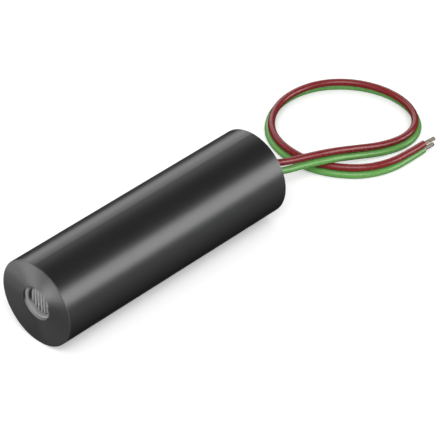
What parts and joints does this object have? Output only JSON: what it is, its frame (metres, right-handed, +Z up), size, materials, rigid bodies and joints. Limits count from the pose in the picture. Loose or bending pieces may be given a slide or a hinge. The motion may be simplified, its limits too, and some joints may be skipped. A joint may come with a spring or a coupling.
{
  "type": "laser diode module",
  "caption": "Laser diode module in a plain black barrel: ribbed line lens behind a round front aperture, locked focusing cell, driver board, potted rear, red and green leads in a loose loop.",
  "frame": {"origin": "on the floor under the middle of the barrel, which lies on its side", "axes": "+X along the barrel towards the front face, the way the beam leaves; +Z up"},
  "size_m": [0.0828, 0.0264, 0.014],
  "materials": {
    "black_barrel": "satin black anodised, fine turned",
    "mask_metal": "satin, fine turned",
    "lens_plastic": "clear moulded optic, polished, ribbed",
    "blackened_ring": "matt black anodised",
    "mount_brass": "turned",
    "lens_glass": "clear moulded glass, coated",
    "spring_steel": "drawn wire, bright",
    "gold_plate": "thin gold plate, satin",
    "can_nickel": "drawn and nickel plated",
    "bead_glass": "fused sealing glass",
    "pedestal_copper": "copper, gold flashed",
    "semiconductor": "polished die",
    "board_laminate": "green solder mask over glass laminate",
    "black_moulding": "moulded epoxy, matt",
    "capacitor_moulding": "moulded epoxy, matt",
    "ceramic_block": "fired ceramic with plated ends",
    "resistor_block": "glazed ceramic with plated ends",
    "solder_tin": "reflowed solder, bright",
    "sleeve_film": "amber polyester film",
    "potting_resin": "cured black epoxy, glossy",
    "red_insulation": "soft dark red PVC, smooth satin",
    "green_insulation": "soft green PVC, smooth satin",
    "tinned_copper": "tinned stranded copper"
  },
  "bodies": {
    "root": {"housing": "black_barrel", "lens_mask_ring": "mask_metal", "line_lens": "lens_plastic", "line_lens_retainer": "blackened_ring", "diode_mount": "mount_brass", "collimator_barrel": "blackened_ring", "collimator_lens": "lens_glass", "collimator_retainer": "blackened_ring", "focus_spring": "spring_steel", "diode_base": "gold_plate", "lead_insulators": "bead_glass", "diode_leads": "gold_plate", "diode_cap": "can_nickel", "diode_window": "lens_glass", "diode_pedestal": "pedestal_copper", "diode_chip": "semiconductor", "monitor_photodiode": "semiconductor", "diode_clamp_ring": "mount_brass", "driver_board": "board_laminate", "driver_ic": "black_moulding", "pass_transistor": "black_moulding", "storage_capacitor": "capacitor_moulding", "ceramic_capacitors": "ceramic_block", "chip_resistors": "resistor_block", "polarity_diode": "black_moulding", "diode_pin_solder": "solder_tin", "supply_lead_solder": "solder_tin", "insulating_sleeve": "sleeve_film", "rear_seal": "potting_resin", "red_lead_inner_end": "red_insulation", "green_lead_inner_end": "green_insulation", "inner_conductor_ends": "tinned_copper", "red_lead": "red_insulation", "green_lead": "green_insulation", "red_lead_bare_end": "tinned_copper", "green_lead_bare_end": "tinned_copper"}
  },
  "joints": []
}
